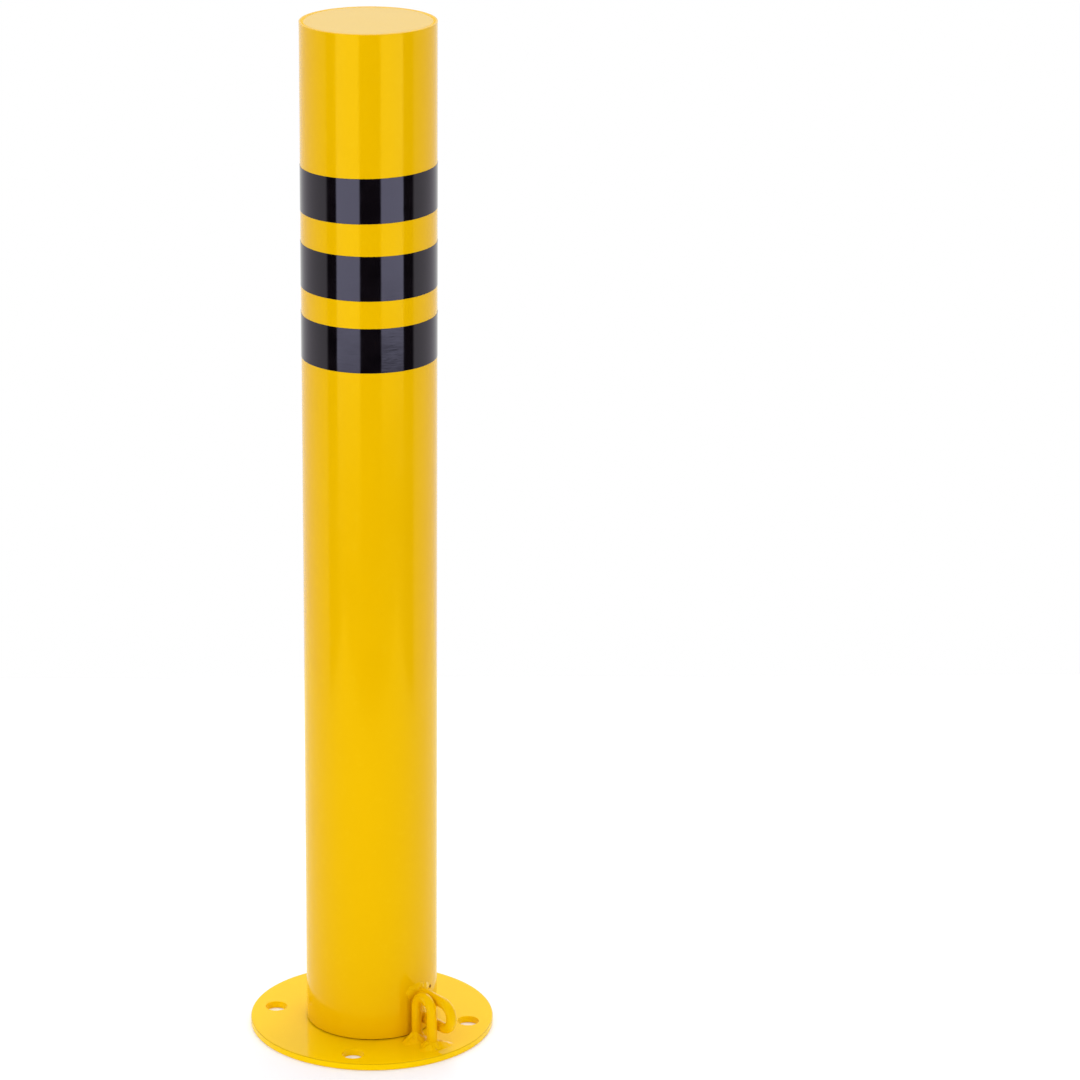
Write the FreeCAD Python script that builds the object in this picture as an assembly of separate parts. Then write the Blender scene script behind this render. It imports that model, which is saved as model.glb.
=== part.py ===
"""Removable steel safety bollard: a post that drops over a spigot on a bolted base plate.

Units are millimetres. +Z is up. The origin is the centre of the base plate's underside.
The two padlock eyes stand on the -Y side. The plate's eye lies in the YZ plane through the
axis, and the post's eye lies beside it, in a parallel plane on the +X side, so that one
padlock shackle passes through both and the post can't be lifted.
"""
import FreeCAD, Part
import math
import os

from FreeCAD import Vector

# ---- driving dimensions -------------------------------------------------------------------

TOTAL_HEIGHT = 900.0

PLATE_DIAMETER = 214.0
PLATE_THICKNESS = 6.0
PLATE_EDGE_ROUND = 0.8

ANCHOR_HOLES = 4
ANCHOR_HOLE_DIAMETER = 19.0
ANCHOR_CIRCLE_DIAMETER = 173.0
ANCHOR_HOLE_EDGE_ROUND = 0.5
FIRST_ANCHOR_ANGLE = 42.0              # degrees from +X, so the eyes stand nearly between two

POST_DIAMETER = 115.0
POST_WALL = 3.0
POST_FOOT_CHAMFER = 0.9
POST_TOP_ROUND = 1.6

SPIGOT_CLEARANCE = 0.5                 # radial gap between the spigot and the post's bore
SPIGOT_WALL = 3.0
SPIGOT_HEIGHT = 100.0
SPIGOT_LEAD_IN = 2.5
SPIGOT_WELD_LEG = 4.0

CAP_THICKNESS = 4.0
CAP_WELD_WIDTH = 3.2
CAP_WELD_DEPTH = 1.6
CAP_WELD_SINK = 0.15                   # the dressed weld lies just below the post's top

ROD_DIAMETER = 9.5
PLATE_EYE_LEG_SPACING = 21.5
PLATE_EYE_HEIGHT = 46.0                # from the plate to the top of the eye's bend
PLATE_EYE_CENTRE = 76.0                # distance from the post's axis to the eye's middle
POST_EYE_LEG_SPACING = 23.0
POST_EYE_CENTRE = 33.2                 # height of the middle of the post's eye
POST_EYE_REACH = 106.0                 # distance from the post's axis to the eye's tip
EYE_OFFSET = 10.2                      # distance between the planes of the two eyes

FOOT_WELD_LEG = 4.2
FOOT_WELD_HEIGHT = 4.6
POST_EYE_WELD_LEG = 3.6

BAND_WIDTH = 38.3
BAND_THICKNESS = 0.2
BAND_TOPS = {"upper_black_band": 779.3, "middle_black_band": 713.3, "lower_black_band": 651.4}
UPPER_BAND_TILT = 1.0                  # degrees, the top tape is put on slightly off level
UPPER_BAND_HIGH_SIDE = -37.0           # degrees from +X, the side where that tape is highest

# ---- dimensions that follow from them -----------------------------------------------------

PLATE_RADIUS = PLATE_DIAMETER / 2
POST_RADIUS = POST_DIAMETER / 2
POST_BORE_RADIUS = POST_RADIUS - POST_WALL
POST_FOOT = PLATE_THICKNESS
SPIGOT_RADIUS = POST_BORE_RADIUS - SPIGOT_CLEARANCE
SPIGOT_TOP = PLATE_THICKNESS + SPIGOT_HEIGHT
ROD_RADIUS = ROD_DIAMETER / 2

UP = Vector(0, 0, 1)
OUTWARD = Vector(0, -1, 0)             # from the axis towards the padlock eyes
SIDEWAYS = Vector(1, 0, 0)             # from the plate's eye towards the post's eye
ORIGIN = Vector(0, 0, 0)


# ---- helpers ------------------------------------------------------------------------------

def turned(profile):
    """A solid of revolution about Z, from (radius, height) corners of a closed outline."""
    corners = [Vector(radius, 0, height) for radius, height in profile]
    outline = Part.makePolygon(corners + corners[:1])
    return Part.Face(outline).revolve(ORIGIN, UP, 360)


def polar(radius, degrees, height=0.0):
    """The point at that radius, angle from +X and height."""
    angle = math.radians(degrees)
    return Vector(radius * math.cos(angle), radius * math.sin(angle), height)


def circles_at(shape, height, radius):
    """The shape's round edges about Z at that height, of that radius."""
    found = []
    for edge in shape.Edges:
        curve = edge.Curve
        if not isinstance(curve, Part.Circle):
            continue
        on_axis = math.hypot(curve.Center.x, curve.Center.y) < 1e-6
        if on_axis and abs(curve.Center.z - height) < 1e-6 and abs(curve.Radius - radius) < 1e-6:
            found.append(edge)
    return found


def hairpin(start_a, start_b, along, straight):
    """A round rod bent to a U, from two parallel starts that run the same way to a half turn."""
    bend_a = start_a + along * straight
    bend_b = start_b + along * straight
    bend_radius = (bend_b - bend_a).Length / 2
    middle = (bend_a + bend_b) * 0.5 + along * bend_radius
    path = Part.Wire([
        Part.LineSegment(start_a, bend_a).toShape(),
        Part.Arc(bend_a, middle, bend_b).toShape(),
        Part.LineSegment(bend_b, start_b).toShape(),
    ])
    section = Part.Wire(Part.Circle(start_a, along, ROD_RADIUS).toShape())
    return path.makePipeShell([section], True, False)


def post_envelope(radius, low=-10.0, high=200.0):
    """A plain cylinder about the post's axis."""
    return Part.makeCylinder(radius, high - low, Vector(0, 0, low))


# ---- the base -----------------------------------------------------------------------------

def base_plate():
    """Round steel plate with its anchor holes and slightly rounded edges."""
    plate = Part.makeCylinder(PLATE_RADIUS, PLATE_THICKNESS)
    rims = circles_at(plate, 0, PLATE_RADIUS) + circles_at(plate, PLATE_THICKNESS, PLATE_RADIUS)
    plate = plate.makeFillet(PLATE_EDGE_ROUND, rims)
    hole_radius = ANCHOR_HOLE_DIAMETER / 2
    for number in range(ANCHOR_HOLES):
        angle = FIRST_ANCHOR_ANGLE + number * 360 / ANCHOR_HOLES
        centre = polar(ANCHOR_CIRCLE_DIAMETER / 2, angle, -1)
        plate = plate.cut(Part.makeCylinder(hole_radius, PLATE_THICKNESS + 2, centre))
    mouths = []
    for edge in plate.Edges:
        curve = edge.Curve
        if isinstance(curve, Part.Circle) and abs(curve.Radius - hole_radius) < 1e-6:
            if abs(curve.Center.z - PLATE_THICKNESS) < 1e-6:
                mouths.append(edge)
    return plate.makeFillet(ANCHOR_HOLE_EDGE_ROUND, mouths)


def spigot_tube():
    """Stub tube inside the post, with a lead-in taper round its top."""
    bore = SPIGOT_RADIUS - SPIGOT_WALL
    return turned([
        (bore, PLATE_THICKNESS),
        (SPIGOT_RADIUS, PLATE_THICKNESS),
        (SPIGOT_RADIUS, SPIGOT_TOP - SPIGOT_LEAD_IN * 2),
        (SPIGOT_RADIUS - SPIGOT_LEAD_IN / 2, SPIGOT_TOP),
        (bore, SPIGOT_TOP),
    ])


def spigot_weld():
    """Fillet weld round the inside of the spigot's foot, clear of the post outside it."""
    bore = SPIGOT_RADIUS - SPIGOT_WALL
    return turned([
        (bore, PLATE_THICKNESS),
        (bore, PLATE_THICKNESS + SPIGOT_WELD_LEG),
        (bore - SPIGOT_WELD_LEG * 0.6, PLATE_THICKNESS + SPIGOT_WELD_LEG * 0.6),
        (bore - SPIGOT_WELD_LEG, PLATE_THICKNESS),
    ])


def plate_eye_leg(side):
    """Foot of one leg of the plate's eye: side is -1 for the inner leg and 1 for the outer."""
    reach = PLATE_EYE_CENTRE + side * PLATE_EYE_LEG_SPACING / 2
    return OUTWARD * reach + UP * PLATE_THICKNESS


def plate_eye():
    """Hairpin rod that stands on the plate, in line with the post's axis."""
    straight = PLATE_EYE_HEIGHT - ROD_RADIUS - PLATE_EYE_LEG_SPACING / 2
    return hairpin(plate_eye_leg(-1), plate_eye_leg(1), UP, straight)


def foot_weld(side):
    """Weld bead round one foot of the plate's eye, kept clear of the post."""
    foot = plate_eye_leg(side)
    bead = Part.makeCone(
        ROD_RADIUS + FOOT_WELD_LEG, ROD_RADIUS + 0.4, FOOT_WELD_HEIGHT, foot, UP)
    rod = Part.makeCylinder(ROD_RADIUS, FOOT_WELD_HEIGHT, foot, UP)
    return bead.cut(rod).cut(post_envelope(POST_RADIUS + 0.6))


# ---- the post -----------------------------------------------------------------------------

def post_tube():
    """The post's tube, with a chamfered foot and a rounded top edge."""
    tube = Part.makeCylinder(POST_RADIUS, TOTAL_HEIGHT - POST_FOOT, Vector(0, 0, POST_FOOT))
    bore = Part.makeCylinder(POST_BORE_RADIUS, TOTAL_HEIGHT, Vector(0, 0, 0))
    tube = tube.cut(bore)
    tube = tube.makeChamfer(POST_FOOT_CHAMFER, circles_at(tube, POST_FOOT, POST_RADIUS))
    tube = tube.makeFillet(POST_TOP_ROUND, circles_at(tube, TOTAL_HEIGHT, POST_RADIUS))
    return tube.cut(cap_weld_ring())


def cap_weld_ring():
    """The groove that the cap's weld fills, across the joint between the cap and the tube."""
    middle = POST_BORE_RADIUS
    half = CAP_WELD_WIDTH / 2
    return turned([
        (middle - half, TOTAL_HEIGHT + 1),
        (middle - half, TOTAL_HEIGHT),
        (middle, TOTAL_HEIGHT - CAP_WELD_DEPTH),
        (middle + half, TOTAL_HEIGHT),
        (middle + half, TOTAL_HEIGHT + 1),
    ])


def cap_weld():
    """Dressed weld that seals the cap into the tube."""
    ceiling = Part.makeCylinder(POST_RADIUS, 2, Vector(0, 0, TOTAL_HEIGHT - CAP_WELD_SINK))
    return cap_weld_ring().cut(ceiling)


def top_cap():
    """Flat disc let into the top of the tube, flush with it."""
    underside = Vector(0, 0, TOTAL_HEIGHT - CAP_THICKNESS)
    disc = Part.makeCylinder(POST_BORE_RADIUS, CAP_THICKNESS, underside)
    return disc.cut(cap_weld_ring())


def post_eye_leg(side):
    """Point on the post's axis plane where one leg's centre line starts: -1 lower, 1 upper."""
    height = POST_EYE_CENTRE + side * POST_EYE_LEG_SPACING / 2
    return SIDEWAYS * EYE_OFFSET + UP * height


def post_eye():
    """Hairpin rod that stands out of the post, level with the plate's eye and beside it."""
    straight = POST_EYE_REACH - ROD_RADIUS - POST_EYE_LEG_SPACING / 2
    rod = hairpin(post_eye_leg(-1), post_eye_leg(1), OUTWARD, straight)
    return rod.cut(post_envelope(POST_RADIUS))


def post_eye_weld(side):
    """Weld bead round one leg of the post's eye, where it meets the tube."""
    start = post_eye_leg(side)
    at_wall = math.sqrt((POST_RADIUS - POST_WALL / 2) ** 2 - EYE_OFFSET ** 2)
    root = start + OUTWARD * at_wall
    bead_length = POST_WALL / 2 + POST_EYE_WELD_LEG + 0.9
    bead = Part.makeCone(
        ROD_RADIUS + POST_EYE_WELD_LEG, ROD_RADIUS + 0.4, bead_length, root, OUTWARD)
    leg = Part.makeCylinder(ROD_RADIUS, bead_length * 2, root - OUTWARD * 2, OUTWARD)
    return bead.cut(leg).cut(post_envelope(POST_RADIUS))


def black_band(top, tilt):
    """Vinyl tape wrapped once round the post: top is its upper edge, tilt leans it, in degrees."""
    middle = top - BAND_WIDTH / 2
    start = Vector(0, 0, middle - BAND_WIDTH)
    sleeve = Part.makeCylinder(POST_RADIUS + BAND_THICKNESS, 2 * BAND_WIDTH, start)
    sleeve = sleeve.cut(Part.makeCylinder(POST_RADIUS, 2 * BAND_WIDTH, start))
    corner = Vector(-POST_DIAMETER, -POST_DIAMETER, top - BAND_WIDTH)
    slab = Part.makeBox(2 * POST_DIAMETER, 2 * POST_DIAMETER, BAND_WIDTH, corner)
    slab.rotate(Vector(0, 0, middle), polar(1, UPPER_BAND_HIGH_SIDE - 90), tilt)
    return sleeve.common(slab)


# ---- build and export ---------------------------------------------------------------------

def all_parts():
    """Every node's name and solid."""
    parts = {
        "base_plate": base_plate(),
        "spigot_tube": spigot_tube(),
        "spigot_weld": spigot_weld(),
        "plate_eye": plate_eye(),
        "plate_eye_inner_weld": foot_weld(-1),
        "plate_eye_outer_weld": foot_weld(1),
        "post_tube": post_tube(),
        "top_cap": top_cap(),
        "cap_weld": cap_weld(),
        "post_eye": post_eye(),
        "post_eye_lower_weld": post_eye_weld(-1),
        "post_eye_upper_weld": post_eye_weld(1),
    }
    for name, top in BAND_TOPS.items():
        tilt = UPPER_BAND_TILT if name == "upper_black_band" else 0.0
        parts[name] = black_band(top, tilt)
    return parts


os.makedirs("parts", exist_ok=True)
for name, shape in all_parts().items():
    shape.exportStep(os.path.join("parts", name + ".step"))
    box = shape.BoundBox
    print(name, "solids", len(shape.Solids), "valid", shape.isValid(),
          "volume %.1f" % shape.Volume,
          "z %.2f to %.2f" % (box.ZMin, box.ZMax))
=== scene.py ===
"""Looks of the removable steel safety bollard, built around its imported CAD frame.

Lengths are in metres, in the CAD frame: +Z is up, the origin is the centre of the plate's
underside, and the two padlock eyes are on the -Y side.
"""

import math

import bpy
from mathutils import Matrix, Vector, noise


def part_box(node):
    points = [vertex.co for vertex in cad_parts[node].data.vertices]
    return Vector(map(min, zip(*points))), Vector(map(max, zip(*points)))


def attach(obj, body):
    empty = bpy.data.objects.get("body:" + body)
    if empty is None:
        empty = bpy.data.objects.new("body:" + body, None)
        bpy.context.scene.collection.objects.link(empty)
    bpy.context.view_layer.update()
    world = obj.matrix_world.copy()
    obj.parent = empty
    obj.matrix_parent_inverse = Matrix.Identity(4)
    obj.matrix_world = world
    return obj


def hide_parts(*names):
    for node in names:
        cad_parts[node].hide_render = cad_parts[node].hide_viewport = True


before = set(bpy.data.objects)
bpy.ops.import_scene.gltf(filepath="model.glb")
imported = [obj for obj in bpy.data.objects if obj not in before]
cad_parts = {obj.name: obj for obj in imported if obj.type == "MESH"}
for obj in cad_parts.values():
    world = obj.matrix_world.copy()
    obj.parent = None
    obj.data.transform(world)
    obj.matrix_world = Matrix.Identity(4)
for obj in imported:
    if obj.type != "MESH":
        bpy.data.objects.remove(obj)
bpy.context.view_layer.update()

MM = 0.001

# ---- sizes, from the frame ----------------------------------------------------------------

PLATE_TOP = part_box("base_plate")[1].z
PLATE_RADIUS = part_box("base_plate")[1].x
POST_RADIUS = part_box("post_tube")[1].x
POST_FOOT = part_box("post_tube")[0].z
POST_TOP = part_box("top_cap")[1].z
CAP_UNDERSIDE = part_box("top_cap")[0].z
BORE_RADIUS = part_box("top_cap")[1].x
SPIGOT_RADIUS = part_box("spigot_tube")[1].x
SPIGOT_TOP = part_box("spigot_tube")[1].z
SPIGOT_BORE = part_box("spigot_weld")[1].x
CAP_WELD_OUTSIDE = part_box("cap_weld")[1].x
ROD_RADIUS = (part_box("plate_eye")[1].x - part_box("plate_eye")[0].x) / 2
PLATE_EYE_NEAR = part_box("plate_eye")[1].y - ROD_RADIUS
PLATE_EYE_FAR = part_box("plate_eye")[0].y + ROD_RADIUS
PLATE_EYE_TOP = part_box("plate_eye")[1].z - ROD_RADIUS
POST_EYE_X = (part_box("post_eye")[0].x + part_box("post_eye")[1].x) / 2
POST_EYE_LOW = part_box("post_eye")[0].z + ROD_RADIUS
POST_EYE_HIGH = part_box("post_eye")[1].z - ROD_RADIUS
POST_EYE_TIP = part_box("post_eye")[0].y + ROD_RADIUS

# ---- viewpoint ----------------------------------------------------------------------------

VIEW_AZIMUTH = math.radians(-37.0)     # 0 is straight in front of the padlock eyes
VIEW_DISTANCE = 3.7044                 # from the post's axis, along the floor
VIEW_HEIGHT = 1.6779
VIEW_PITCH = math.radians(18.3665)     # down from level
VIEW_ROLL = math.radians(-0.217)
VIEW_LENS = 151.99                     # focal length and sensor width in millimetres
VIEW_SENSOR = 36
VIEW_SHIFT = 0.1573                    # in sensor widths; it leaves the right half empty
VIEW_CLIP = 100

# ---- shape detail -------------------------------------------------------------------------

ROUND_STEPS = 6                        # steps in each rounded corner of an outline

# post tube
POST_SEGMENTS = 256
POST_RING_PITCH = 6 * MM
EDGE_HOLD = 0.3 * MM                   # a ring this close to each edge keeps its shading crisp
TUBE_WAVE = 0.035 * MM                 # how far the rolled tube wanders from a true cylinder
TUBE_WAVES_ROUND = 1.1                 # how quickly it wanders, round the tube and along it
TUBE_WAVES_ALONG = 5.5
EDGE_FALL = 0.4 * MM                   # how far the ground edge drops from the cap's face
EDGE_ROUND = 0.35 * MM
WELD_GROOVE = 1.8 * MM                 # depth of the chamfer that the cap's weld fills
FOOT_GAP = 1.0 * MM                    # height and depth of the bevel under the post's foot
FOOT_GAP_DEPTH = 1.4 * MM
FOOT_OUTER_ROUND = 0.3 * MM
FOOT_INNER_ROUND = 0.4 * MM

# cap and its weld
CAP_SEGMENTS = 128
CAP_RINGS = 26
CAP_HUB = 0.2 * MM                     # radius of the pinhole at the centre of the turned disc
CAP_CLEARANCE = 0.05 * MM              # between the disc and the bore
CAP_FACE = POST_TOP - 0.25 * MM
CAP_FACE_RADIUS = CAP_WELD_OUTSIDE - 0.4 * MM
CAP_FACE_ROUND = 0.2 * MM
CAP_LIP = 0.5 * MM                     # thickness of the face's rim, which covers the groove
CAP_LIP_SLOPE = 0.1 * MM
CAP_UNEVEN = 0.03 * MM                 # how far grinding by hand left the face from flat
CAP_UNEVEN_WAVES = 28                  # per metre
CAP_WELD_SEGMENTS = 360
CAP_WELD_INSIDE = BORE_RADIUS - 1.3 * MM
CAP_WELD_STEPS = 10
CAP_WELD_WANDER = 1.0 * MM             # how far its inner edge wanders
CAP_WELD_RISE = 0.15 * MM              # how far the weld stands out of the cap's face
CAP_WELD_FALL = 0.12 * MM              # how far it falls away at its outer edge
CAP_WELD_INNER_ROOT = 1.2 * MM         # how deep it goes at its inner and outer edges
CAP_WELD_OUTER_ROOT = 2.2 * MM
CAP_WELD_FLUSH_SIDE = math.radians(-127)

# tapes
TAPE_SEGMENTS = 320
TAPE_ROWS = 14
TAPE_THICKNESS = 0.2 * MM
TAPE_EDGE_ROUND = 0.06 * MM
TAPE_STANDOFF = 0.012 * MM             # of its underside from the tube's skin
TAPE_OVERLAP = math.radians(11)
TAPE_OVERLAP_LIFT = 1.05 * TAPE_THICKNESS
TAPE_STEP_RAMP = math.radians(1.2)     # the turn over which the end climbs onto the start
TAPE_SEAM_ANGLE = math.radians(128)
UPPER_TAPE_TILT = math.radians(1.0)
TAPE_HIGH_SIDE = math.radians(-37.0)   # where a tilted tape stands highest
TAPES = [                              # node, tilt, how far the end has slipped down
    ("upper_black_band", UPPER_TAPE_TILT, 0.5 * MM),
    ("middle_black_band", 0.0, 0.3 * MM),
    ("lower_black_band", 0.0, -0.4 * MM),
]

# padlock eyes
BAR_SEGMENTS = 40
BAR_BEND_THINNING = 0.025              # share of the radius lost at the tip of the bend
BAR_COAT_WAVE = 0.04 * MM              # how far the coat's thickness wanders
BAR_COAT_WAVES = 160                   # per metre
PLATE_EYE_SINK = 0.4 * MM              # how far the legs go into the metal they stand on
POST_EYE_SINK = 0.8 * MM

# beads round the eyes' legs; lobes are (degrees, gain) directions in which a bead runs out
BEAD_SEGMENTS = 144
BEAD_STEPS = 14
BEAD_SINK = 0.35 * MM                  # how far it goes under the surface and into the bar
BEAD_ROOT = 0.4 * MM
BEAD_SLOW_SWELL = 0.22                 # how its size wanders round the leg, as shares of it
BEAD_QUICK_SWELL = 0.16
BEAD_RIPPLE = 0.06
BEAD_LUMP = 3.0 * MM                   # size and height of the lumps on its face
BEAD_LUMP_RISE = 0.45 * MM
FOOT_BEAD_HOLLOW = 2.3                 # exponent of a bead's profile; 2 is flat, more is hollow
FOOT_BEAD_RIPPLES = 17
FOOT_BEAD_CLEARANCE = 0.9 * MM         # from the post, which has to lift past it
POST_BEAD_HOLLOW = 1.5
POST_BEAD_RIPPLES = 15
POST_BEAD_LEG = 3.4 * MM
POST_BEAD_HEIGHT = 2.5 * MM
INNER_FOOT_BEAD = {"leg": 3.9 * MM, "height": 5.4 * MM, "seed": 1.5,
                   "lobes": [(190, 2.3), (235, 1.1), (-90, 0.8)]}
OUTER_FOOT_BEAD = {"leg": 4.1 * MM, "height": 4.6 * MM, "seed": 4.2,
                   "lobes": [(-28, 2.3), (205, 1.8), (90, 0.8)]}
LOWER_LEG_BEAD = {"seed": 6.1, "lobes": [(0, 0.8)]}
UPPER_LEG_BEAD = {"seed": 8.4, "lobes": [(172, 2.6), (0, 1.2)]}

# blemishes in the post's coat; pit is the share of the radius that sinks back
CRATER = {"degrees": -65.0, "height": 44 * MM, "radius": 2.8 * MM, "rise": 0.8 * MM, "pit": 0.6}
PIMPLE = {"degrees": 163.5, "height": 25 * MM, "radius": 1.1 * MM, "rise": 0.5 * MM, "pit": 0.0}
PIT_FLOOR = 0.25                       # height of a pit's floor, as a share of the rise
MARK_SEGMENTS = 32
MARK_RINGS = 10
MARK_WOBBLE = 0.12                     # how far its outline wanders, as a share of its radius
MARK_SINK = 0.15 * MM                  # how far its edge goes under the coat

# spigot and its weld
SPIGOT_SEGMENTS = 192
SPIGOT_SINK = 0.2 * MM
SPIGOT_LEAD_IN = 5 * MM                # length of its tapered top
SPIGOT_LEAD_IN_FALL = 1.25 * MM
SPIGOT_WELD_SEGMENTS = 720
SPIGOT_WELD_SIZE = 3.3 * MM
SPIGOT_WELD_SWELL = 0.5 * MM
SPIGOT_WELD_RIPPLE = 0.35 * MM
SPIGOT_WELD_RIPPLES = 60
SPIGOT_WELD_STEPS = 8
SPIGOT_WELD_ROOT = 0.3 * MM            # how far it goes into the tube and the plate


# ---- mesh helpers -------------------------------------------------------------------------

def finished(name, points, faces, body, nodes, sharp_degrees=35):
    """A smooth-shaded piece from points and faces, riding on its body in place of CAD nodes."""
    mesh = bpy.data.meshes.new(name)
    mesh.from_pydata([tuple(p) for p in points], [], faces)
    mesh.validate()
    mesh.shade_smooth()
    mesh.set_sharp_from_angle(angle=math.radians(sharp_degrees))
    piece = bpy.data.objects.new(name, mesh)
    bpy.context.scene.collection.objects.link(piece)
    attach(piece, body)
    if nodes:
        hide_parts(*nodes)
    return piece


def grid_faces(rows, columns, wrap_rows, wrap_columns, start=0):
    """Quads of a grid of points stored row by row; either direction may close on itself."""
    faces = []
    for row in range(rows if wrap_rows else rows - 1):
        for column in range(columns if wrap_columns else columns - 1):
            here = start + row * columns
            above = start + (row + 1) % rows * columns
            beside = (column + 1) % columns
            faces.append((here + column, here + beside, above + beside, above + column))
    return faces


def rounded(corners, steps=ROUND_STEPS):
    """A closed outline in which each corner (a, b, radius) becomes an arc of that radius."""
    outline = []
    count = len(corners)
    for index, (a, b, radius) in enumerate(corners):
        here = Vector((a, b))
        if radius == 0:
            outline.append(here)
            continue
        back = (Vector(corners[index - 1][:2]) - here).normalized()
        ahead = (Vector(corners[(index + 1) % count][:2]) - here).normalized()
        half = back.angle(ahead) / 2
        reach = radius / math.tan(half)
        centre = here + (back + ahead).normalized() * (radius / math.sin(half))
        first = here + back * reach - centre
        sweep = first.angle_signed(here + ahead * reach - centre)
        for step in range(steps + 1):
            outline.append(centre + Matrix.Rotation(-sweep * step / steps, 2) @ first)
    return outline


def around(radius, angle, height):
    """The point at that radius, angle and height."""
    return Vector((radius * math.cos(angle), radius * math.sin(angle), height))


def ring_noise(angle, waves, level):
    """Smooth noise that closes on itself round a ring; level picks which noise."""
    return noise.noise(Vector((waves * math.cos(angle), waves * math.sin(angle), level)))


def tube_wave(angle, height):
    """How far the rolled and drawn tube stands out of or in from a true cylinder there."""
    return TUBE_WAVE * ring_noise(angle, TUBE_WAVES_ROUND, height * TUBE_WAVES_ALONG)


def turned_piece(name, outline, segments, body, nodes, offset=None):
    """An outline of (radius, height) turned about the axis; offset(angle, height) adds to radius."""
    points = []
    for radius, height in outline:
        for index in range(segments):
            angle = math.tau * index / segments
            extra = offset(angle, height) if offset else 0.0
            points.append(around(radius + extra, angle, height))
    faces = grid_faces(len(outline), segments, True, True)
    return finished(name, points, faces, body, nodes)


# ---- the post -----------------------------------------------------------------------------

def build_post_tube():
    """The tube as a dense, faintly uneven skin, with a rounded top edge and a bevelled foot."""
    corners = [
        (BORE_RADIUS, POST_FOOT, FOOT_INNER_ROUND),
        (BORE_RADIUS, POST_TOP - WELD_GROOVE, 0),
        (CAP_FACE_RADIUS, POST_TOP - EDGE_FALL, 0),
        (POST_RADIUS, POST_TOP - EDGE_FALL, EDGE_ROUND),
        (POST_RADIUS, POST_FOOT + FOOT_GAP, FOOT_OUTER_ROUND),
        (POST_RADIUS - FOOT_GAP_DEPTH, POST_FOOT, 0),
    ]
    outline = rounded(corners)
    tall = []
    for index, point in enumerate(outline):
        tall.append(point)
        following = outline[(index + 1) % len(outline)]
        rise = following.y - point.y
        steps = int(abs(rise) / POST_RING_PITCH)
        if steps > 1:
            hold = EDGE_HOLD / abs(rise)
            tall.append(point.lerp(following, hold))
            for step in range(1, steps):
                tall.append(point.lerp(following, step / steps))
            tall.append(point.lerp(following, 1 - hold))
    return turned_piece("post_skin", tall, POST_SEGMENTS, "post", ["post_tube"],
                        tube_wave)


def build_cap():
    """The flat cap, ground flush with the tube by hand, so its face is faintly uneven."""
    side = BORE_RADIUS - CAP_CLEARANCE
    corners = [
        (CAP_HUB, CAP_UNDERSIDE, 0),
        (side, CAP_UNDERSIDE, 0),
        (side, CAP_FACE - CAP_LIP - CAP_LIP_SLOPE, 0),
        (CAP_FACE_RADIUS, CAP_FACE - CAP_LIP, 0),
        (CAP_FACE_RADIUS, CAP_FACE, CAP_FACE_ROUND),
    ]
    outline = rounded(corners)
    edge = outline[-1]
    for ring in range(1, CAP_RINGS + 1):
        outline.append(edge.lerp(Vector((CAP_HUB, edge.y)), ring / CAP_RINGS))
    points = []
    for radius, height in outline:
        for index in range(CAP_SEGMENTS):
            spot = around(radius, math.tau * index / CAP_SEGMENTS, height)
            if height > CAP_FACE - CAP_FACE_ROUND / 2:
                place = Vector((spot.x * CAP_UNEVEN_WAVES, spot.y * CAP_UNEVEN_WAVES, 3.0))
                spot.z += (noise.noise(place) - 1) * CAP_UNEVEN
            points.append(spot)
    faces = grid_faces(len(outline), CAP_SEGMENTS, True, True)
    return finished("cap_disc", points, faces, "post", ["top_cap"])


def build_cap_weld():
    """The weld round the cap, ground to a shallow bevel; its front was ground nearly flush."""
    outside = CAP_WELD_OUTSIDE + 0.1 * MM
    points = []
    for index in range(CAP_WELD_SEGMENTS):
        angle = math.tau * index / CAP_WELD_SEGMENTS
        lump = ring_noise(angle, 7, 0.4)
        wander = ring_noise(angle, 3, 7.7)
        flush = min(1.0, max(0.0, math.cos(angle - CAP_WELD_FLUSH_SIDE) * 1.5 + 0.1))
        start = CAP_WELD_INSIDE + wander * CAP_WELD_WANDER * (1 - flush)
        start += (CAP_FACE_RADIUS - CAP_FACE_ROUND - start) * flush
        for step in range(CAP_WELD_STEPS + 1):
            share = step / CAP_WELD_STEPS
            crown = min(1.0, share * 5) * (1 - share ** 2) * (1 - flush)
            lift = CAP_WELD_RISE * crown * (1 + 0.3 * lump) - CAP_WELD_FALL * share ** 2
            points.append(around(start + (outside - start) * share, angle,
                                 CAP_FACE - CAP_UNEVEN + lift))
        points.append(around(outside, angle, POST_TOP - CAP_WELD_OUTER_ROOT))
        points.append(around(start, angle, POST_TOP - CAP_WELD_INNER_ROOT))
    faces = grid_faces(CAP_WELD_SEGMENTS, CAP_WELD_STEPS + 3, True, True)
    return finished("cap_weld_bead", points, faces, "post", ["cap_weld"], 50)


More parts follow.
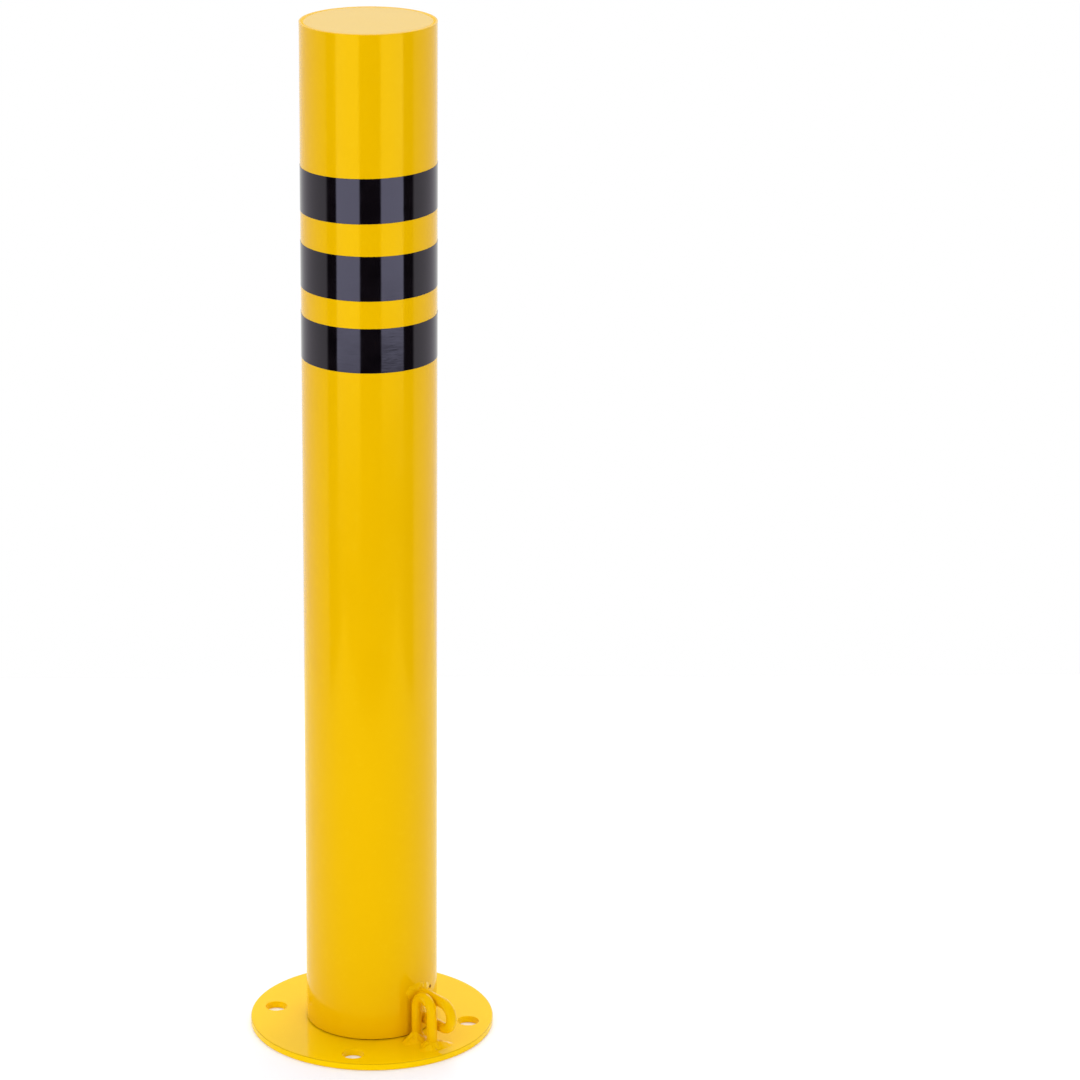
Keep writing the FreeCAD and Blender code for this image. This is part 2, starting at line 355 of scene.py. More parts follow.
def build_tape(node, tilt, seam_slip):
    """A vinyl tape wound once round the post, its end stuck over its start at the back."""
    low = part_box(node)[0].z
    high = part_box(node)[1].z
    lean = math.tan(tilt) * POST_RADIUS
    low += lean
    high -= lean
    soft = TAPE_EDGE_ROUND
    points = []
    for index in range(TAPE_SEGMENTS + 1):
        travel = (math.tau + TAPE_OVERLAP) * index / TAPE_SEGMENTS
        angle = TAPE_SEAM_ANGLE + travel
        over = min(1.0, max(0.0, (travel - math.tau + TAPE_STEP_RAMP * 2) / TAPE_STEP_RAMP))
        over = over * over * (3 - 2 * over)
        lift = lean * math.cos(angle - TAPE_HIGH_SIDE) - seam_slip * over
        inner = POST_RADIUS + over * TAPE_OVERLAP_LIFT
        outer = inner + TAPE_THICKNESS
        section = [(inner, low), (outer - soft, low), (outer, low + soft), (outer, low + 3 * soft)]
        for step in range(1, TAPE_ROWS):
            section.append((outer, low + (high - low) * step / TAPE_ROWS))
        section += [(outer, high - 3 * soft), (outer, high - soft), (outer - soft, high),
                    (inner, high)]
        for radius, height in section:
            wave = tube_wave(angle, height + lift) + TAPE_STANDOFF
            points.append(around(radius + wave, angle, height + lift))
    columns = len(points) // (TAPE_SEGMENTS + 1)
    faces = grid_faces(TAPE_SEGMENTS + 1, columns, False, True)
    last = TAPE_SEGMENTS * columns
    faces.append(tuple(reversed(range(columns))))
    faces.append(tuple(range(last, last + columns)))
    return finished(node.replace("band", "tape"), points, faces, "post", [node], 60)


# ---- the padlock eyes ---------------------------------------------------------------------

def hairpin_path(first, second, along, height, bend_steps=28, straight_steps=10):
    """Points up one leg of a hairpin of that height, round its bend and down the other leg."""
    across = (first - second) / 2
    radius = across.length
    straight = height - radius
    unit = across.normalized()
    path = []
    for step in range(straight_steps):
        path.append(first + along * (straight * step / straight_steps))
    centre = (first + second) / 2 + along * straight
    for step in range(bend_steps + 1):
        turn = math.pi * step / bend_steps
        path.append(centre + unit * radius * math.cos(turn) + along * radius * math.sin(turn))
    for step in range(straight_steps - 1, -1, -1):
        path.append(second + along * (straight * step / straight_steps))
    return path


def build_bar(name, path, plane_normal, body, node, seed):
    """A coated round bar along a flat path, thinned a little round the outside of its bend."""
    rows = len(path)
    points = []
    for row in range(rows):
        before = path[max(row - 1, 0)]
        after = path[min(row + 1, rows - 1)]
        forward = (after - before).normalized()
        sideways = plane_normal.cross(forward).normalized()
        bend = math.sin(math.pi * row / (rows - 1)) ** 8
        for index in range(BAR_SEGMENTS):
            angle = math.tau * index / BAR_SEGMENTS
            squeeze = 1 - BAR_BEND_THINNING * bend * math.cos(angle) ** 2
            place = path[row] * BAR_COAT_WAVES + around(1, angle, seed)
            coat = BAR_COAT_WAVE * noise.noise(place)
            radius = (ROD_RADIUS - BAR_COAT_WAVE) * squeeze + coat
            spoke = sideways * math.cos(angle) + plane_normal * math.sin(angle)
            points.append(path[row] + spoke * radius)
    faces = grid_faces(rows, BAR_SEGMENTS, False, True)
    faces.append(tuple(range(BAR_SEGMENTS)))
    faces.append(tuple(reversed(range((rows - 1) * BAR_SEGMENTS, rows * BAR_SEGMENTS))))
    return finished(name, points, faces, body, [node])


def build_plate_eye():
    """The hairpin that stands on the plate."""
    near = Vector((0, PLATE_EYE_NEAR, PLATE_TOP - PLATE_EYE_SINK))
    far = Vector((0, PLATE_EYE_FAR, PLATE_TOP - PLATE_EYE_SINK))
    path = hairpin_path(near, far, Vector((0, 0, 1)), PLATE_EYE_TOP - near.z)
    return build_bar("plate_eye_bar", path, Vector((1, 0, 0)), "base", "plate_eye", 2.0)


def build_post_eye():
    """The hairpin that stands out of the post."""
    start = -math.sqrt(POST_RADIUS ** 2 - (POST_EYE_X + ROD_RADIUS) ** 2) + POST_EYE_SINK
    low = Vector((POST_EYE_X, start, POST_EYE_LOW))
    high = Vector((POST_EYE_X, start, POST_EYE_HIGH))
    path = hairpin_path(high, low, Vector((0, -1, 0)), start - POST_EYE_TIP)
    return build_bar("post_eye_bar", path, Vector((1, 0, 0)), "post", "post_eye", 9.0)


# ---- welds --------------------------------------------------------------------------------

def bead_size(angle, seed, ripples, lobes):
    """Relative size of a hand-laid bead at that angle: lumpy, rippled, and run out into lobes."""
    slow = ring_noise(angle, 1.4, seed)
    lump = ring_noise(angle, 3.5, seed + 5)
    ripple = math.sin(ripples * angle / 2 + slow * 3) ** 2
    run_out = 0.0
    for degrees, gain in lobes:
        run_out += gain * max(0.0, math.cos(angle - math.radians(degrees))) ** 4
    swell = 1 + BEAD_SLOW_SWELL * slow + BEAD_QUICK_SWELL * lump
    return (1 + run_out) * swell + BEAD_RIPPLE * ripple


def fillet_bead(place, leg, height, seed, ripples, lobes, hollow):
    """Points and faces of a bead round a bar: place(angle, distance, lift) gives each point."""
    inside = ROD_RADIUS - BEAD_ROOT
    points = []
    for index in range(BEAD_SEGMENTS):
        angle = math.tau * index / BEAD_SEGMENTS
        size = bead_size(angle, seed, ripples, lobes)
        for step in range(BEAD_STEPS + 1):
            turn = math.pi / 2 * step / BEAD_STEPS
            distance = ROD_RADIUS + leg * size * math.cos(turn) ** hollow
            grain = noise.noise(around(distance, angle, seed * MM) / BEAD_LUMP)
            lift = height * (0.9 + 0.1 * size) * (1 + 0.25 * grain) * math.sin(turn) ** hollow
            lift += BEAD_LUMP_RISE * grain * math.sin(2 * turn)
            points.append(place(angle, distance, lift))
        points.append(place(angle, inside, height * 0.6))
        points.append(place(angle, inside, -BEAD_SINK))
        points.append(place(angle, ROD_RADIUS + leg * size, -BEAD_SINK))
    return points, grid_faces(BEAD_SEGMENTS, BEAD_STEPS + 4, True, True)


def build_foot_weld(node, foot_y, leg, height, seed, lobes):
    """The bead round one foot of the plate's eye, kept clear of the post."""
    def place(angle, distance, lift):
        spot = Vector((distance * math.cos(angle), foot_y + distance * math.sin(angle), 0))
        reach = math.hypot(spot.x, spot.y)
        clear = POST_RADIUS + FOOT_BEAD_CLEARANCE
        if reach < clear:
            spot *= clear / reach
        spot.z = PLATE_TOP + lift
        return spot
    points, faces = fillet_bead(place, leg, height, seed, FOOT_BEAD_RIPPLES, lobes,
                                FOOT_BEAD_HOLLOW)
    return finished(node + "_bead", points, faces, "base", [node], 50)


def build_post_eye_weld(node, leg_height, seed, lobes):
    """The bead round one leg of the post's eye, laid on the round post."""
    def place(angle, distance, lift):
        x = POST_EYE_X + distance * math.cos(angle)
        wall = -math.sqrt(POST_RADIUS ** 2 - x ** 2)
        return Vector((x, wall - lift, leg_height + distance * math.sin(angle)))
    points, faces = fillet_bead(place, POST_BEAD_LEG, POST_BEAD_HEIGHT, seed, POST_BEAD_RIPPLES,
                                lobes, POST_BEAD_HOLLOW)
    return finished(node + "_bead", points, faces, "post", [node], 50)


def build_coat_mark(name, degrees, height, radius, rise, pit):
    """A round blemish in the post's coat."""
    angle = math.radians(degrees)
    outward = around(1, angle, 0)
    sideways = Vector((-outward.y, outward.x, 0))
    centre = around(POST_RADIUS, angle, height)
    points = [centre + outward * (rise * (PIT_FLOOR if pit else 1.0))]
    for ring in range(1, MARK_RINGS + 1):
        share = ring / MARK_RINGS
        swell = math.cos(share * math.pi / 2) ** 0.8
        if share < pit:
            swell = PIT_FLOOR + (swell - PIT_FLOOR) * (share / pit) ** 3
        for index in range(MARK_SEGMENTS):
            turn = math.tau * index / MARK_SEGMENTS
            reach = radius * share * (1 + MARK_WOBBLE * ring_noise(turn, 1, degrees))
            spot = centre + sideways * reach * math.cos(turn)
            spot.z += reach * math.sin(turn)
            wall = Vector((spot.x, spot.y, 0)).normalized() * POST_RADIUS
            lift = rise * swell - (MARK_SINK if ring == MARK_RINGS else 0.0)
            points.append(Vector((wall.x, wall.y, spot.z)) + outward * lift)
    faces = [(0, 1 + index, 1 + (index + 1) % MARK_SEGMENTS) for index in range(MARK_SEGMENTS)]
    faces += grid_faces(MARK_RINGS, MARK_SEGMENTS, False, True, 1)
    faces.append(tuple(reversed(range(len(points) - MARK_SEGMENTS, len(points)))))
    return finished(name, points, faces, "post", [], 80)


def build_spigot_weld():
    """The rippled fillet round the inside of the spigot's foot."""
    points = []
    for index in range(SPIGOT_WELD_SEGMENTS):
        angle = math.tau * index / SPIGOT_WELD_SEGMENTS
        slow = ring_noise(angle, 6, 5.0)
        ripple = abs(math.sin(angle * SPIGOT_WELD_RIPPLES + slow))
        size = SPIGOT_WELD_SIZE + SPIGOT_WELD_SWELL * slow + SPIGOT_WELD_RIPPLE * ripple
        for step in range(SPIGOT_WELD_STEPS + 1):
            turn = math.pi / 2 * step / SPIGOT_WELD_STEPS
            points.append(around(SPIGOT_BORE - size * math.cos(turn), angle,
                                 PLATE_TOP + size * math.sin(turn)))
        points.append(around(SPIGOT_BORE + SPIGOT_WELD_ROOT, angle, PLATE_TOP + size * 0.9))
        points.append(around(SPIGOT_BORE + SPIGOT_WELD_ROOT, angle, PLATE_TOP - SPIGOT_WELD_ROOT))
        points.append(around(SPIGOT_BORE - size, angle, PLATE_TOP - SPIGOT_WELD_ROOT))
    faces = grid_faces(SPIGOT_WELD_SEGMENTS, SPIGOT_WELD_STEPS + 4, True, True)
    return finished("spigot_weld_bead", points, faces, "base", ["spigot_weld"], 50)


def build_spigot():
    """The stub tube, with its tapered lead-in."""
    corners = [
        (SPIGOT_BORE, PLATE_TOP - SPIGOT_SINK, 0),
        (SPIGOT_BORE, SPIGOT_TOP, 0.5 * MM),
        (SPIGOT_RADIUS - SPIGOT_LEAD_IN_FALL, SPIGOT_TOP, 0.6 * MM),
        (SPIGOT_RADIUS, SPIGOT_TOP - SPIGOT_LEAD_IN, 3 * MM),
        (SPIGOT_RADIUS, PLATE_TOP - SPIGOT_SINK, 0),
    ]
    return turned_piece("spigot_skin", rounded(corners), SPIGOT_SEGMENTS, "base",
                        ["spigot_tube"])


# ---- node-tree helper ---------------------------------------------------------------------

class Graph:
    """Short calls for building a shader node tree."""

    def __init__(self, tree):
        self.tree = tree
        tree.nodes.clear()

    def node(self, kind, inputs=None, **settings):
        """A new node with those settings, its inputs linked or set."""
        made = self.tree.nodes.new(kind)
        for key, value in settings.items():
            setattr(made, key, value)
        for key, value in (inputs or {}).items():
            self.feed(made.inputs[key], value)
        return made

    def feed(self, socket, value):
        """Links another node's socket, or sets a value; None leaves the socket alone."""
        if isinstance(value, bpy.types.NodeSocket):
            self.tree.links.new(value, socket)
        elif value is not None:
            socket.default_value = value

    def math(self, operation, *values):
        made = self.node("ShaderNodeMath", operation=operation)
        for index, value in enumerate(values):
            self.feed(made.inputs[index], value)
        return made.outputs[0]

    def dot(self, vector, other):
        made = self.node("ShaderNodeVectorMath", {0: vector, 1: other}, operation="DOT_PRODUCT")
        return made.outputs["Value"]

    def ramp(self, value, low, high, to_low=0.0, to_high=1.0):
        """Smooth step of value from to_low at low to to_high at high."""
        made = self.node("ShaderNodeMapRange", interpolation_type="SMOOTHSTEP")
        for index, number in enumerate((value, low, high, to_low, to_high)):
            self.feed(made.inputs[index], number)
        return made.outputs[0]

    def between(self, value, low, high, soft):
        """1 between low and high, 0 outside, with edges that wide."""
        rise = self.ramp(value, low - soft / 2, low + soft / 2)
        fall = self.ramp(value, high - soft / 2, high + soft / 2, 1.0, 0.0)
        return self.math("MULTIPLY", rise, fall)

    def mix(self, factor, first, second):
        made = self.node("ShaderNodeMix", data_type="RGBA")
        self.feed(made.inputs["Factor"], factor)
        self.feed(made.inputs["A"], first)
        self.feed(made.inputs["B"], second)
        return made.outputs["Result"]

    def scaled(self, colour, factors):
        return self.node("ShaderNodeVectorMath", {0: colour, 1: factors},
                         operation="MULTIPLY").outputs[0]

    def noise(self, vector, scale, detail=2.0, roughness=0.5):
        made = self.node("ShaderNodeTexNoise", {
            "Vector": vector, "Scale": scale, "Detail": detail, "Roughness": roughness})
        return made.outputs["Fac"]


# ---- materials ----------------------------------------------------------------------------

# Noise scales are in waves per metre, and bump depths in metres.
YELLOW = (0.865, 0.502, 0.0, 1)
YELLOW_THIN = (0.885, 0.540, 0.004, 1)
YELLOW_DEEP = (0.800, 0.440, 0.0, 1)
YELLOW_GLOSS_TINT = (1.0, 0.90, 0.05, 1)
# a dark yellow, painted as shade under the post's foot and in the crater's pit, and on a thin line
# along the plate's upper edge
DARKENED_YELLOW = (0.180, 0.030, 0.002, 1)
BARE_STEEL = (0.36, 0.35, 0.33, 1)
VINYL_DEEP = (0.0022, 0.0016, 0.0020, 1)
VINYL_PALE = (0.0042, 0.0030, 0.0036, 1)
VINYL_DUST = (0.10, 0.10, 0.11, 1)
PAPER_WHITE = (0.88, 0.88, 0.88, 1)
PAPER_MOTTLE = (0.86, 0.86, 0.86, 1)
COAT_IOR = 1.5                         # of the powder coat and of vinyl
PEEL_WAVES = 420
SWELL_WAVES = 150                      # the broader waviness under the orange peel
PATCH_WAVES = 9                        # slow changes of tint
SMEAR_WAVES = 24                       # slow changes of gloss
GLOSS_RANGE = 0.06                     # how much rougher the smears are
DARKENED_ROUGHNESS = 0.7
EDGE_LINE_STRENGTH = 0.30


def new_material(name):
    """An empty node material: itself, its graph, its shader and the place on the object."""
    material = bpy.data.materials.new(name)
    material.use_nodes = True
    graph = Graph(material.node_tree)
    shader = graph.node("ShaderNodeBsdfPrincipled")
    output = graph.node("ShaderNodeOutputMaterial")
    graph.tree.links.new(shader.outputs[0], output.inputs["Surface"])
    place = graph.node("ShaderNodeTexCoord").outputs["Object"]
    return material, graph, shader, place


def bumps(graph, layers):
    """Stacks (height, depth) layers into one bumped normal."""
    normal = None
    for height, depth in layers:
        made = graph.node("ShaderNodeBump", {"Height": height, "Strength": 1.0, "Distance": depth})
        if normal is not None:
            graph.feed(made.inputs["Normal"], normal)
        normal = made.outputs["Normal"]
    return normal


def powder_coat(name, peel=0.010 * MM, gloss=0.09, waviness=0.0, painted_lightness=(1, 1, 1), darkening_mask=None,
                specular=0.5):
    """Glossy yellow powder coat: orange peel, slow gloss changes, a coat that thins at places.

    The colour scale is painted light and shade: it makes one part's yellow lighter or darker than
    another's for how the light falls on it.
    A mask function darkens the yellow where its mask is set: painted shade in the bevel under the
    post's foot and in the crater's pit, and a thin darker line along the plate's upper edge.
    """
    material, graph, shader, place = new_material(name)
    cloud = graph.noise(place, PATCH_WAVES, 3)
    fine = graph.noise(place, PEEL_WAVES, 1)
    broad = graph.noise(place, SWELL_WAVES, 2)
    tint = graph.mix(graph.ramp(cloud, 0.35, 0.68), YELLOW_DEEP, YELLOW)
    tint = graph.mix(graph.math("MULTIPLY", graph.ramp(cloud, 0.2, 0.8), 0.35), YELLOW, tint)
    tint = graph.mix(graph.math("MULTIPLY", graph.ramp(broad, 0.55, 0.75), 0.25), tint, YELLOW_THIN)
    smear = graph.noise(place, SMEAR_WAVES, 4, 0.6)
    rough = graph.ramp(smear, 0.3, 0.75, gloss, gloss + GLOSS_RANGE)
    layers = [(broad, waviness), (fine, peel)] if waviness else [(fine, peel)]
    # Painted light and shade: the part's colour scale lightens or darkens its yellow.
    if painted_lightness != (1, 1, 1):
        tint = graph.scaled(tint, painted_lightness)
    # The mask paints shade into the yellow under the post's foot and in the crater's pit, and
    # darkens a thin line along the plate's edge; it also dulls the gloss there.
    if darkening_mask:
        mask = darkening_mask(graph, place)
        tint = graph.mix(mask, tint, DARKENED_YELLOW)
        rough = graph.math("MAXIMUM", rough, graph.math("MULTIPLY", mask, DARKENED_ROUGHNESS))
    graph.feed(shader.inputs["Base Color"], tint)
    graph.feed(shader.inputs["Roughness"], rough)
    graph.feed(shader.inputs["Normal"], bumps(graph, layers))
    shader.inputs["Specular Tint"].default_value = YELLOW_GLOSS_TINT
    shader.inputs["Specular IOR Level"].default_value = specular
    shader.inputs["IOR"].default_value = COAT_IOR
    return material


def crater_pit_shade(graph, place):
    """Mask of the painted shade in the pit in the middle of the crater in the coat."""
    centre = around(POST_RADIUS, math.radians(CRATER["degrees"]), CRATER["height"])
    away = graph.node("ShaderNodeVectorMath", {0: place, 1: centre}, operation="DISTANCE")
    radius = CRATER["radius"] * CRATER["pit"]
    return graph.ramp(away.outputs["Value"], radius * 0.85, radius * 1.15, 1.0, 0.0)


def foot_painted_shade(graph, place):
    """Mask of painted shade: a dark line in the bevel under the post's foot, where the gap is in
    shadow.
    """
    height = graph.node("ShaderNodeSeparateXYZ", {0: place}).outputs["Z"]
    patchy = graph.ramp(graph.noise(place, 60, 3), 0.25, 0.55, 0.75, 1.0)
    edge = graph.ramp(height, POST_FOOT + FOOT_GAP * 0.85, POST_FOOT + FOOT_GAP * 1.15, 1.0, 0.0)
    return graph.math("MULTIPLY", edge, patchy)


def plate_edge_line(graph, place):
    """Mask of a thin darker line along the plate's upper edge."""
    part = graph.node("ShaderNodeSeparateXYZ", {0: place}).outputs
    radius = graph.math("SQRT", graph.math("ADD", graph.math("MULTIPLY", part["X"], part["X"]),
                                           graph.math("MULTIPLY", part["Y"], part["Y"])))
    upper = graph.ramp(part["Z"], PLATE_TOP - 0.9 * MM, PLATE_TOP - 0.6 * MM)
    outer = graph.ramp(radius, PLATE_RADIUS - 0.75 * MM, PLATE_RADIUS - 0.5 * MM)
    return graph.math("MULTIPLY", graph.math("MULTIPLY", upper, outer), EDGE_LINE_STRENGTH)


def rubbed_coat(name):
    """The spigot's coat: scuffed in upright streaks, and rubbed to bare steel near its top."""
    material, graph, shader, place = new_material(name)
    stretched = graph.node("ShaderNodeMapping", {"Vector": place, "Scale": (1, 1, 0.06)})
    streaks = graph.noise(stretched.outputs[0], 420, 4, 0.65)
    patches = graph.noise(place, 26, 3)
    height = graph.node("ShaderNodeSeparateXYZ", {0: place}).outputs["Z"]
    near_top = graph.ramp(height, SPIGOT_TOP - 0.035, SPIGOT_TOP - 0.002)
    wear = graph.math("MULTIPLY", graph.ramp(streaks, 0.50, 0.62), graph.ramp(patches, 0.40, 0.62))
    wear = graph.math("MULTIPLY", wear, graph.math("MAXIMUM", near_top, 0.12))
    graph.feed(shader.inputs["Base Color"], graph.mix(wear, YELLOW, BARE_STEEL))
    graph.feed(shader.inputs["Metallic"], graph.ramp(wear, 0.4, 0.6))
    graph.feed(shader.inputs["Roughness"], graph.ramp(streaks, 0.3, 0.7, 0.18, 0.42))
    graph.feed(shader.inputs["Normal"], bumps(graph, [(streaks, 0.003 * MM)]))
    shader.inputs["Specular Tint"].default_value = YELLOW_GLOSS_TINT
    return material


def black_vinyl(name):
    """Glossy black vinyl tape: nearly black, smooth, faintly stretched along its length."""
    material, graph, shader, place = new_material(name)
    slow = graph.noise(place, 45, 2)
    stretched = graph.node("ShaderNodeMapping", {"Vector": place, "Scale": (1, 1, 5)})
    drawn = graph.noise(stretched.outputs[0], 130, 2)
    dust = graph.noise(place, 900, 1)
    shade = graph.mix(graph.ramp(slow, 0.3, 0.7), VINYL_DEEP, VINYL_PALE)
    specks = graph.math("MULTIPLY", graph.ramp(dust, 0.72, 0.80), 0.08)
    shade = graph.mix(specks, shade, VINYL_DUST)
    graph.feed(shader.inputs["Base Color"], shade)
    graph.feed(shader.inputs["Roughness"], graph.ramp(slow, 0.3, 0.7, 0.045, 0.085))
    graph.feed(shader.inputs["Normal"], bumps(graph, [(slow, 0.05 * MM), (drawn, 0.008 * MM)]))
    shader.inputs["IOR"].default_value = COAT_IOR
    return material


def pale_paper(name):
    """Matt white studio paper that glows a little, so that it stays white round the plate."""
    material, graph, shader, place = new_material(name)
    mottle = graph.noise(place, 3, 4)
    white = graph.mix(mottle, PAPER_MOTTLE, PAPER_WHITE)
    glossy = graph.node("ShaderNodeLightPath").outputs["Is Glossy Ray"]
    graph.feed(shader.inputs["Base Color"], graph.mix(glossy, white, PAPER_WARMTH))
    graph.feed(shader.inputs["Roughness"], graph.ramp(mottle, 0.2, 0.8, 0.75, 0.9))
    shader.inputs["Specular IOR Level"].default_value = 0.1
    shader.inputs["Emission Color"].default_value = (1, 1, 1, 1)
    shader.inputs["Emission Strength"].default_value = PAPER_GLOW
    return material


def dress(piece, material):
    """Gives a piece that one material."""
    if piece.data.materials:
        piece.data.materials[0] = material
    else:
        piece.data.materials.append(material)


# ---- studio -------------------------------------------------------------------------------

# Azimuths round the object in degrees: 0 is towards the camera, positive to its right.
# Pairs of elevations are where a fade begins and ends.
LEFT_SOFTBOX = (-56.0, -15.5)
RIGHT_SOFTBOX = (20.0, 59.5)
LEFT_SOFTBOX_FOOT = (-18.6, -15.4)     # elevations over which each softbox fades at its foot
RIGHT_SOFTBOX_FOOT = (-17.1, -15.4)
SOFTBOX_HEAD = (30.0, 34.0)
SOFTBOX_EDGE = 3                       # degrees over which a side edge fades
DARK_ROOM = (-75.0, 80.0)
DARK_ROOM_HEAD = (40.0, 60.0)
DARK_ROOM_EDGE = 6
WALL_END = (120, 165)                  # azimuths over which the walls become the backdrop
CEILING_START = (13, 24)
FLOOR_END = (-16, -4)
SOFTBOX_LIGHT = (2.3, 2.25, 3.2, 1)
SOFTBOX_UPPER_LIGHT = (1.05, 1.05, 1.05, 1)            # what gloss shows of their upper part
SOFTBOX_FADE = (2.0, 11.0)
WALL_LIGHT = (0.84, 0.78, 0.88, 1)
BACKDROP_LIGHT = (1.0, 1.0, 1.0, 1)
CEILING_LIGHT = (0.62, 0.62, 0.62, 1)
DARK_LIGHT = (0.004, 0.003, 0.005, 1)
FLOOR_LIGHT = (0.95, 0.95, 0.95, 1)    # what the rest of the floor throws up at matt surfaces
PAPER_HALF_SIZE = 0.88
PAPER_DROP = 0.0002                    # how far it lies under the plate
PAPER_GLOW = 0.12
PAPER_WARMTH = (0.80, 0.78, 0.52, 1)   # colour of the paper in reflections
SUNS = [                               # name, azimuth, elevation, strength, spread in degrees
    ("key_light", -60, 35, 0.3, 40),
    ("top_light", 170, 60, 1.6, 60),
    ("front_light", 5, 50, 0.34, 60),
]


def build_world():
    """The studio round the object, as light by direction: softboxes, dark room, pale walls."""
    world = bpy.data.worlds.new("studio")
    bpy.context.scene.world = world
    world.use_nodes = True
    graph = Graph(world.node_tree)
    ray = graph.node("ShaderNodeTexCoord").outputs["Generated"]
    to_camera = Vector((math.sin(VIEW_AZIMUTH), -math.cos(VIEW_AZIMUTH), 0))
    to_right = Vector((math.cos(VIEW_AZIMUTH), math.sin(VIEW_AZIMUTH), 0))
    turn = graph.math("ARCTAN2", graph.dot(ray, to_right), graph.dot(ray, to_camera))
    azimuth = graph.math("DEGREES", turn)
    up = graph.node("ShaderNodeSeparateXYZ", {0: ray}).outputs["Z"]
    elevation = graph.math("DEGREES", graph.math("ARCSINE", up))

    away = graph.ramp(graph.math("ABSOLUTE", azimuth), *WALL_END)
    light = graph.mix(away, WALL_LIGHT, BACKDROP_LIGHT)
    light = graph.mix(graph.ramp(elevation, *CEILING_START), light, CEILING_LIGHT)
    room = graph.between(azimuth, *DARK_ROOM, DARK_ROOM_EDGE)
    room = graph.math("MULTIPLY", room, graph.ramp(elevation, *DARK_ROOM_HEAD, 1.0, 0.0))
    light = graph.mix(room, light, DARK_LIGHT)
    left = graph.math("MULTIPLY", graph.between(azimuth, *LEFT_SOFTBOX, SOFTBOX_EDGE),
                      graph.ramp(elevation, *LEFT_SOFTBOX_FOOT))
    right = graph.math("MULTIPLY", graph.between(azimuth, *RIGHT_SOFTBOX, SOFTBOX_EDGE),
                       graph.ramp(elevation, *RIGHT_SOFTBOX_FOOT))
    boxes = graph.math("MULTIPLY", graph.math("ADD", left, right),
                       graph.ramp(elevation, *SOFTBOX_HEAD, 1.0, 0.0))
    path = graph.node("ShaderNodeLightPath")
    matt = graph.math("SUBTRACT", 1.0, path.outputs["Is Glossy Ray"])
    strong = graph.math("MAXIMUM", matt, graph.ramp(elevation, *SOFTBOX_FADE, 1.0, 0.0))
    light = graph.mix(boxes, light, graph.mix(strong, SOFTBOX_UPPER_LIGHT, SOFTBOX_LIGHT))
    below = graph.math("MULTIPLY", matt, graph.ramp(elevation, *FLOOR_END, 1.0, 0.0))
    light = graph.mix(below, light, FLOOR_LIGHT)
    shown = graph.mix(path.outputs["Is Camera Ray"], light, BACKDROP_LIGHT)
    background = graph.node("ShaderNodeBackground", {"Color": shown, "Strength": 1.0})
    output = graph.node("ShaderNodeOutputWorld")
    graph.tree.links.new(background.outputs[0], output.inputs["Surface"])


def build_floor():
    """The sheet of pale paper that the bollard stands on, square to the camera."""
    half = PAPER_HALF_SIZE
    corners = [(-half, -half, 0), (half, -half, 0), (half, half, 0), (-half, half, 0)]
    mesh = bpy.data.meshes.new("studio_paper")
    mesh.from_pydata(corners, [], [(0, 1, 2, 3)])
    floor = bpy.data.objects.new("studio_paper", mesh)
    floor.location.z = -PAPER_DROP
    floor.rotation_euler.z = VIEW_AZIMUTH
    bpy.context.scene.collection.objects.link(floor)
    dress(floor, pale_paper("studio_paper"))


def build_sun(name, azimuth_degrees, elevation_degrees, strength, spread_degrees):
    """A wide soft light from that direction; azimuth 0 is the camera's side."""
    light = bpy.data.lights.new(name, "SUN")
    light.energy = strength
    light.angle = math.radians(spread_degrees)
    lamp = bpy.data.objects.new(name, light)
    azimuth = VIEW_AZIMUTH + math.radians(azimuth_degrees)
    elevation = math.radians(elevation_degrees)
    source = Vector((math.sin(azimuth) * math.cos(elevation),
                     -math.cos(azimuth) * math.cos(elevation), math.sin(elevation)))
    lamp.rotation_euler = source.to_track_quat("Z", "Y").to_euler()
    lamp.visible_glossy = False
    bpy.context.scene.collection.objects.link(lamp)


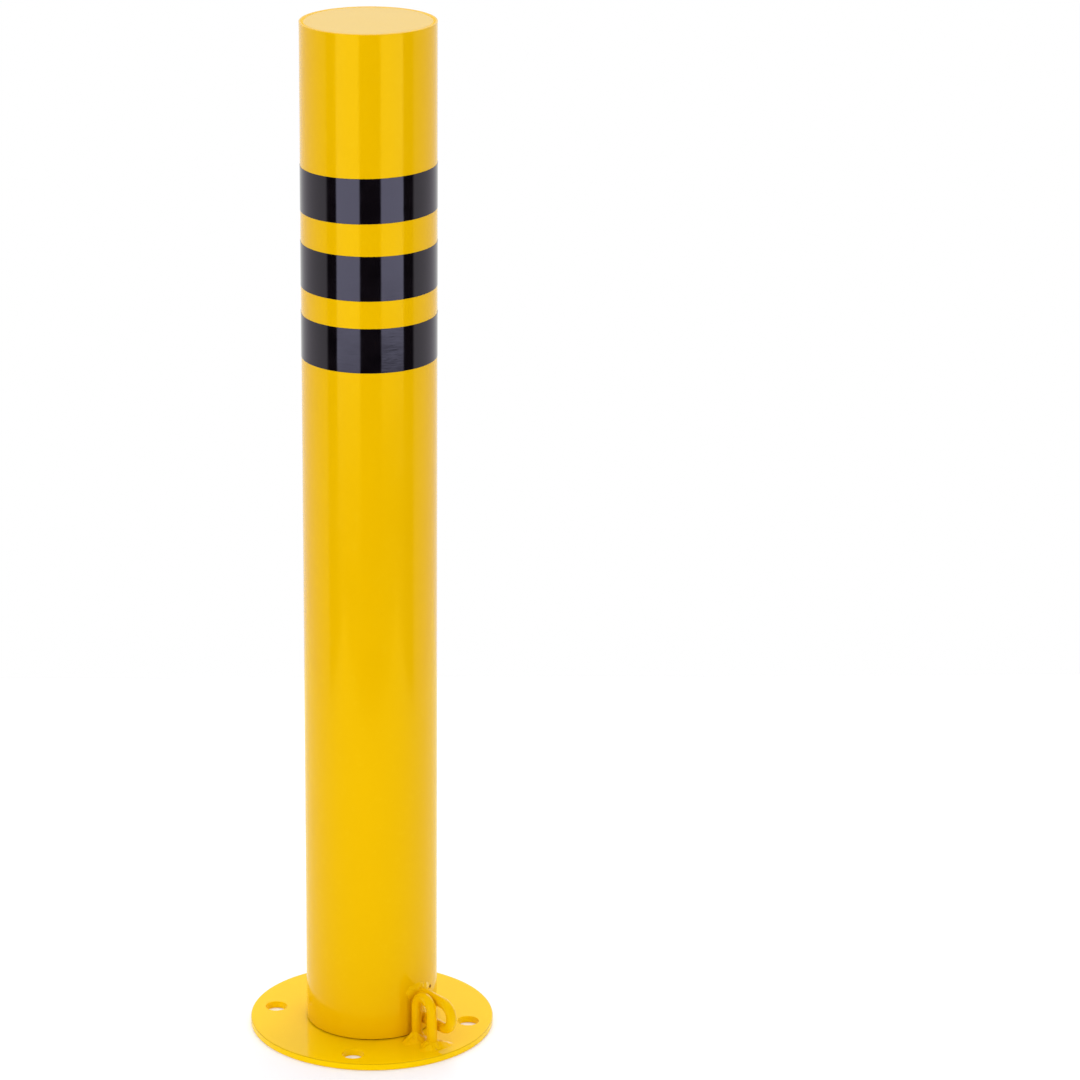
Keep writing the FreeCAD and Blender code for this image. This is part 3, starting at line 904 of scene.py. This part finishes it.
def build_camera():
    """The camera, higher than the post and looking down at it through a long lens."""
    data = bpy.data.cameras.new("camera")
    data.sensor_width = VIEW_SENSOR
    data.lens = VIEW_LENS
    data.shift_x = VIEW_SHIFT
    data.clip_end = VIEW_CLIP
    camera = bpy.data.objects.new("camera", data)
    camera.location = (VIEW_DISTANCE * math.sin(VIEW_AZIMUTH),
                       -VIEW_DISTANCE * math.cos(VIEW_AZIMUTH), VIEW_HEIGHT)
    turn = Matrix.Rotation(VIEW_AZIMUTH, 3, "Z")
    tilt = Matrix.Rotation(math.pi / 2 - VIEW_PITCH, 3, "X")
    roll = Matrix.Rotation(VIEW_ROLL, 3, "Z")
    camera.rotation_euler = (turn @ tilt @ roll).to_euler()
    bpy.context.scene.collection.objects.link(camera)
    bpy.context.scene.camera = camera


# ---- put together -------------------------------------------------------------------------

bpy.context.scene.view_settings.view_transform = "Standard"

build_camera()
build_world()
build_floor()
for sun in SUNS:
    build_sun(*sun)

# The colour scales given to the coats below are painted light and shade: lighter on the plate and
# welds, darker on the post and cap.
post_coat = powder_coat("post_powder_coat", painted_lightness=(0.945, 0.945, 1), darkening_mask=foot_painted_shade)
cap_coat = powder_coat("cap_powder_coat", gloss=0.10, painted_lightness=(0.88, 0.93, 1))
cap_weld_coat = powder_coat("cap_weld_powder_coat", gloss=0.34, specular=0.12)
plate_coat = powder_coat("plate_powder_coat", gloss=0.04,
                         painted_lightness=(1.13, 1.24, 1), darkening_mask=plate_edge_line)
eye_coat = powder_coat("eye_powder_coat", peel=0.012 * MM, gloss=0.07, waviness=0.02 * MM)
weld_coat = powder_coat("weld_powder_coat", peel=0.012 * MM, gloss=0.10, waviness=0.04 * MM,
                        painted_lightness=(1.1, 1.13, 1))
# The crater's pit is darkened with painted shade.
crater_coat = powder_coat("crater_powder_coat", darkening_mask=crater_pit_shade)
spigot_coat = rubbed_coat("spigot_rubbed_coat")
tape_vinyl = black_vinyl("black_vinyl_tape")

dress(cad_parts["base_plate"], plate_coat)
dress(build_post_tube(), post_coat)
dress(build_cap(), cap_coat)
dress(build_cap_weld(), cap_weld_coat)
for tape in TAPES:
    dress(build_tape(*tape), tape_vinyl)
dress(build_plate_eye(), eye_coat)
dress(build_post_eye(), eye_coat)
dress(build_foot_weld("plate_eye_inner_weld", PLATE_EYE_NEAR, **INNER_FOOT_BEAD), weld_coat)
dress(build_foot_weld("plate_eye_outer_weld", PLATE_EYE_FAR, **OUTER_FOOT_BEAD), weld_coat)
dress(build_post_eye_weld("post_eye_lower_weld", POST_EYE_LOW, **LOWER_LEG_BEAD), eye_coat)
dress(build_post_eye_weld("post_eye_upper_weld", POST_EYE_HIGH, **UPPER_LEG_BEAD), eye_coat)
dress(build_coat_mark("coat_crater", **CRATER), crater_coat)
dress(build_coat_mark("coat_pimple", **PIMPLE), post_coat)
dress(build_spigot(), spigot_coat)
dress(build_spigot_weld(), weld_coat)
